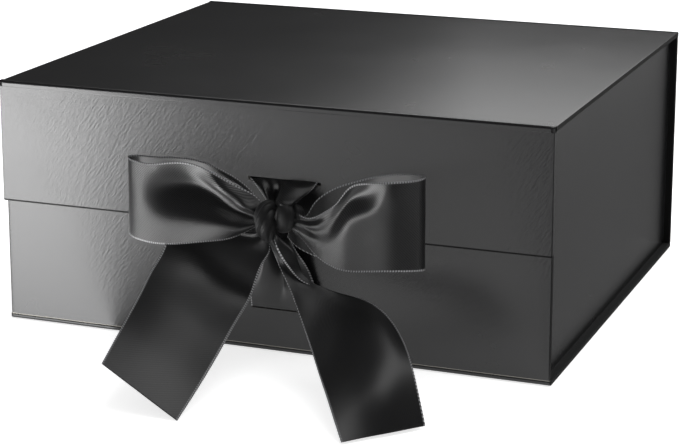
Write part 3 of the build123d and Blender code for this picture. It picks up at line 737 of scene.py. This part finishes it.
def rope(name, path, radius_mm, pleats, twist, widen=1.0):
    """Radius at angle a and place t: r sin(pi t)^0.35 (0.86 + 0.2 |cos(pleats a/2 + twist t)|),
    and widen times that across the bundle. Its map runs 22 mm along the ribbon and 32 mm
    round the rope, starting 4 mm in from a selvedge."""
    spine = batten(np.array(path, float), ROPE_RINGS)
    ahead = np.gradient(spine, axis=0)
    ahead /= np.linalg.norm(ahead, axis=-1, keepdims=True)
    side = np.cross(ahead, np.array([1.0, 0.0, 0.0]))
    side /= np.linalg.norm(side, axis=-1, keepdims=True)
    up = np.cross(side, ahead)
    t = np.linspace(0, 1, ROPE_RINGS)[:, None]
    a = np.linspace(0, 2 * np.pi, ROPE_SIDES + 1)[None, :]
    swell = np.maximum(np.sin(np.pi * t), 0) ** 0.35
    wave = np.abs(np.cos(pleats * a / 2 + twist * t))
    r = radius_mm * swell * (0.86 + 0.20 * wave)
    grid = (spine[:, None, :] + r[..., None] * (
        np.cos(a)[..., None] * side[:, None, :]
        + widen * np.sin(a)[..., None] * up[:, None, :]))
    uv = np.stack(np.broadcast_arrays(
        t * ROPE_CLOTH, SELVEDGE_IN + a / (2 * np.pi) * ROPE_ROUND), axis=-1)
    made = grid_object(name, grid * MM, uv)
    made.data.materials.append(TIGHT_SHADED_SATIN)
    return made


knot_left = rope("knot_left_lobe", [(10.2, -126.0, 70.8), (7.9, -129.5, 70.1),
                                    (7.6, -132.0, 67.6), (8.0, -133.0, 63.9),
                                    (8.9, -132.0, 59.7), (10.1, -129.5, 57.4)],
                 radius_mm=4.5, pleats=5, twist=8.0)
knot_front = rope("knot_front_band", [(15.0, -126.5, 72.7), (16.0, -130.0, 71.5),
                                      (16.7, -131.6, 68.4), (16.1, -131.4, 64.3),
                                      (13.7, -128.0, 60.5)],
                  radius_mm=2.5, pleats=3, twist=0.6, widen=1.55)
knot_right = rope("knot_right_lobe", [(17.8, -125.5, 71.4), (20.9, -127.4, 70.0),
                                      (21.5, -127.8, 67.0), (19.6, -126.6, 63.0)],
                  radius_mm=2.4, pleats=4, twist=-1.6)
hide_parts("knot")
print("knot pieces:", knot_left.name, knot_front.name, knot_right.name)

# %% [markdown]
# ## What moves with what
# The bow is sewn to nothing but its own flap strap, so it goes with the flap. The lower strap has
# a body of its own. Each ribbon is cut from the same 40 mm roll, and its length, measured down
# its middle, is printed when it is made.

# %% Bodies
bow = [left_loop, right_loop, left_tail, right_tail, upper_fan, knot_left, knot_front,
       knot_right]
for piece in bow:
    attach(piece, "flap")
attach(lower_ribbon, "lower_ribbon")

# %% [markdown]
# ## The stage
# What gives black coated paper its shape is what it reflects, more than what shines on
# it. So besides a table and a lamp the stage needs cards: flat pieces that glow a
# little or a lot, which reflections see and the camera doesn't. Two helpers make them.


# %% Stage helpers
def glow(name, near, far=None, axis=1, start=0.0, stop=1.0):
    """Light only: strength near at start and far at stop along one axis, clamped outside."""
    made, tree, lamp = start_finish(name, "ShaderNodeEmission")
    lamp.inputs["Strength"].default_value = near
    if far is not None:
        place = add(tree, "ShaderNodeTexCoord").outputs["Object"]
        value = add(tree, "ShaderNodeSeparateXYZ", [(0, place)]).outputs[axis]
        ramp = add(tree, "ShaderNodeMapRange", [("Value", value)], From_Min=start,
                   From_Max=stop, To_Min=near, To_Max=far)
        tree.links.new(ramp.outputs[0], lamp.inputs["Strength"])
    return made


def card(name, corners, material):
    """A flat card from its four corners, in metres, unseen by the camera, without shadow."""
    grid = np.array(corners, float).reshape(2, 2, 3)
    made = grid_object(name, grid)
    made.data.materials.append(material)
    made.visible_camera = False
    made.visible_shadow = False
    return made


# %% [markdown]
# ## Table and overhead light
# The box stands on a wide pale sweep, which glows a little by itself so that it stays
# white all round. One big soft lamp hangs overhead, to the right, and gives the faint
# shadow that sets the box down.

# %% Table
FAR, TABLE_Z = 8.0, -0.0004
table = grid_object("table", np.array([[(FAR, -FAR, TABLE_Z), (FAR, FAR, TABLE_Z)],
                                       [(-FAR, -FAR, TABLE_Z), (-FAR, FAR, TABLE_Z)]]))
pale, _, pale_shader = start_finish("pale_sweep")
pale_shader.inputs["Base Color"].default_value = linear("#f2f2f2")
pale_shader.inputs["Roughness"].default_value = 0.9
pale_shader.inputs["Emission Color"].default_value = (1.0, 1.0, 1.0, 1.0)
pale_shader.inputs["Emission Strength"].default_value = 0.7
table.data.materials.append(pale)
print("table:", table.name)

# %% Overhead light
overhead_data = bpy.data.lights.new("overhead", "AREA")
overhead_data.shape = "RECTANGLE"
overhead_data.size, overhead_data.size_y = 1.3, 1.3
overhead_data.energy = 12.0
overhead = bpy.data.objects.new("overhead", overhead_data)
overhead.location = (0.55, 0.10, 1.5)
overhead.visible_camera = False
bpy.context.collection.objects.link(overhead)
print("overhead light:", overhead_data.energy, "W")

# %% [markdown]
# ## Glowing cards
# A glowing strip on the floor at the front left shows in the front panel as a broad
# sheen that fades to the right. It grows brighter away from the box, because the lower
# panel reflects its near part and the flap its far part. A tall soft box behind gives
# the lid its gradient: it starts well above the table, so the front of the lid mirrors
# it and the back of the lid mirrors the dark below it.

# %% Glowing cards
FRONT = -0.1155
card("front_left_glow", [(-0.078, FRONT, 0.0), (-0.60, -1.1, 0.0),
                         (-0.155, FRONT, 0.0), (-1.2, -1.1, 0.0)],
     glow("front_glow", 7.0, 17.0, 1, FRONT, -0.5))
card("back_soft_box", [(-0.085, 0.45, 0.234), (0.75, 0.45, 0.222),
                       (-0.75, 0.45, 0.9), (0.75, 0.45, 0.9)],
     glow("back_glow", 1.1, 1.7, 2, 0.225, 0.265))
print("glowing cards: 2")

# %% [markdown]
# ## Dark cards and a flag
# The white table would show in every wall, so dark cards lie on it wherever the front,
# the right side and the left side would mirror it, and a dark flag stands at the left
# for when the lid is open. They are seen by reflections alone, so the table still
# lights the box from below. The bow's loops are left out of reflections, because their
# dark mirror images would swallow the sheen beside them.

# %% Dark cards and flag
DARK = glow("dark_card", 0.22)
DARKER = glow("darker_card", 0.12)
DARK_Z = -0.0002
FLAG_Y, FLAG_TOP = -0.1152, 0.16


def on_floor(y, left, right):
    """The two corners of a floor card's edge at one depth."""
    return [(left, y, DARK_Z), (right, y, DARK_Z)]


DARK_CARDS = {
    "dark_side_card": (on_floor(-0.11, 0.131, 0.42) + on_floor(1.20, 0.131, 0.42), DARK),
    "dark_turn_card": (on_floor(-0.11, -0.70, -0.135) + on_floor(0.10, -0.70, -0.135), DARK),
    "dark_right_card": (on_floor(FRONT, 0.131, 0.60) + on_floor(-2.0, -0.30, 0.60), DARKER),
    "dark_left_card": (on_floor(FRONT, -1.2, -0.160) + on_floor(-1.1, -3.0, -1.25), DARKER),
    "left_flag": ([(-1.7, FLAG_Y, 0.0), (-0.1305, FLAG_Y, 0.0),
                   (-1.7, FLAG_Y, FLAG_TOP), (-0.1305, FLAG_Y, FLAG_TOP)], DARKER),
}
for name, (corners, material) in DARK_CARDS.items():
    card(name, corners, material).visible_diffuse = False
for loop in (left_loop, right_loop):
    loop.visible_glossy = False
print("dark cards:", len(DARK_CARDS))

# %% [markdown]
# ## Surroundings
# A white world is the background, but the same white in reflections would turn black
# paper grey. The light path tells the kinds of ray apart: the camera sees white, soft
# light comes in at half strength, and reflections see next to nothing.

# %% Surroundings
world = bpy.data.worlds.new("studio")
bpy.context.scene.world = world
world.use_nodes = True
sky = world.node_tree
sky.nodes.clear()
ray = add(sky, "ShaderNodeLightPath")
fill = add(sky, "ShaderNodeBackground", Color=(1, 1, 1, 1), Strength=0.5)
dim = add(sky, "ShaderNodeBackground", Color=(1, 1, 1, 1), Strength=0.04)
white = add(sky, "ShaderNodeBackground", Color=(1, 1, 1, 1), Strength=1.0)
shiny = add(sky, "ShaderNodeMixShader", [(0, ray.outputs["Is Glossy Ray"]),
                                         (1, fill.outputs[0]), (2, dim.outputs[0])])
seen = add(sky, "ShaderNodeMixShader", [(0, ray.outputs["Is Camera Ray"]),
                                        (1, shiny.outputs[0]), (2, white.outputs[0])])
add(sky, "ShaderNodeOutputWorld", [("Surface", seen.outputs[0])])
bpy.context.scene.view_settings.view_transform = "Standard"
print("surroundings:", world.name)

# %% [markdown]
# ## Sizes
# The drawing's box is printed. The visual model has to stay inside the drawing's box,
# apart from a little that cloth may stand proud.

# %% Sizes
print("cad", [[round(x, 4) for x in v] for v in cad_box])
